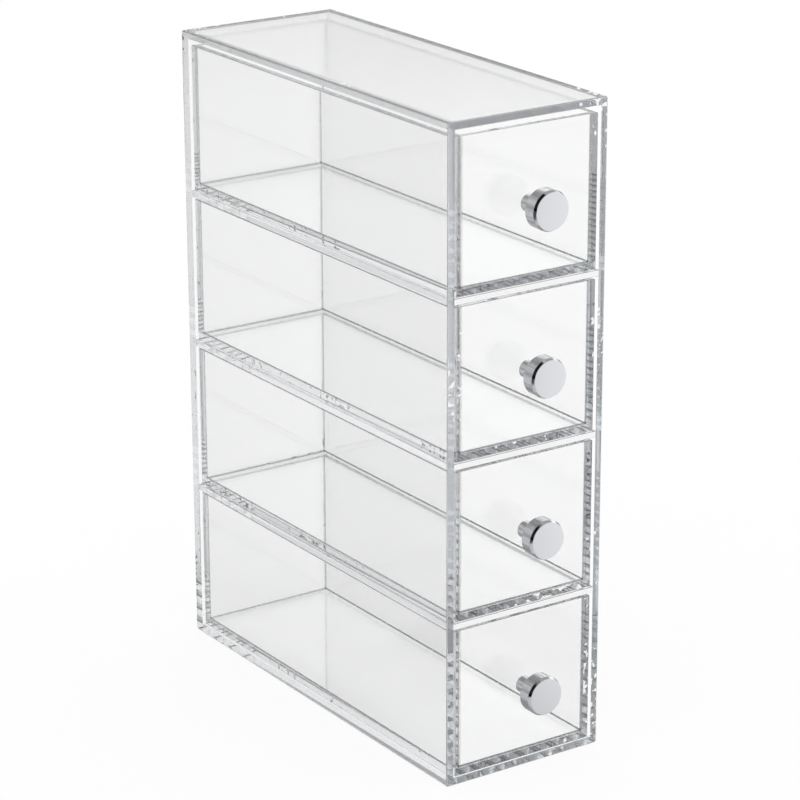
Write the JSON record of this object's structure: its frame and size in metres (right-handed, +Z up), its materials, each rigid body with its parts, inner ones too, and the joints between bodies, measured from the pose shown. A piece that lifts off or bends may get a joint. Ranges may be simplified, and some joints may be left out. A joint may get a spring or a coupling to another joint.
{
  "type": "cosmetics organiser with drawers",
  "caption": "Tall clear acrylic tabletop organiser: an open-fronted case with fixed shelves and equal sliding drawers, each pulled by a round chrome knob.",
  "frame": {"origin": "centre of the case's underside, on the surface it stands on", "axes": "+Z up along the height; -Y out of the front, the way the drawers open; +X to the right of someone facing the drawers"},
  "size_m": [0.07, 0.1967, 0.254],
  "materials": {
    "clear_acrylic": "polished, clear",
    "polished_chrome": "mirror polished",
    "stud_steel": "bright zinc"
  },
  "bodies": {
    "case": {"case_left_side": "clear_acrylic", "case_right_side": "clear_acrylic", "case_back": "clear_acrylic", "case_bottom": "clear_acrylic", "case_top": "clear_acrylic", "shelf_1": "clear_acrylic", "shelf_2": "clear_acrylic", "shelf_3": "clear_acrylic"},
    "drawer_1": {"drawer_1_bottom": "clear_acrylic", "drawer_1_left_side": "clear_acrylic", "drawer_1_right_side": "clear_acrylic", "drawer_1_back": "clear_acrylic", "drawer_1_front": "clear_acrylic", "drawer_1_knob": "polished_chrome", "drawer_1_knob_stud": "stud_steel"},
    "drawer_2": {"drawer_2_bottom": "clear_acrylic", "drawer_2_left_side": "clear_acrylic", "drawer_2_right_side": "clear_acrylic", "drawer_2_back": "clear_acrylic", "drawer_2_front": "clear_acrylic", "drawer_2_knob": "polished_chrome", "drawer_2_knob_stud": "stud_steel"},
    "drawer_3": {"drawer_3_bottom": "clear_acrylic", "drawer_3_left_side": "clear_acrylic", "drawer_3_right_side": "clear_acrylic", "drawer_3_back": "clear_acrylic", "drawer_3_front": "clear_acrylic", "drawer_3_knob": "polished_chrome", "drawer_3_knob_stud": "stud_steel"},
    "drawer_4": {"drawer_4_bottom": "clear_acrylic", "drawer_4_left_side": "clear_acrylic", "drawer_4_right_side": "clear_acrylic", "drawer_4_back": "clear_acrylic", "drawer_4_front": "clear_acrylic", "drawer_4_knob": "polished_chrome", "drawer_4_knob_stud": "stud_steel"}
  },
  "joints": [
    {"name": "drawer_1_slide", "type": "slide", "parent": "case", "child": "drawer_1", "axis": [0, -1, 0], "range_m": [0, 0.15]},
    {"name": "drawer_2_slide", "type": "slide", "parent": "case", "child": "drawer_2", "axis": [0, -1, 0], "range_m": [0, 0.15]},
    {"name": "drawer_3_slide", "type": "slide", "parent": "case", "child": "drawer_3", "axis": [0, -1, 0], "range_m": [0, 0.15]},
    {"name": "drawer_4_slide", "type": "slide", "parent": "case", "child": "drawer_4", "axis": [0, -1, 0], "range_m": [0, 0.15]}
  ]
}
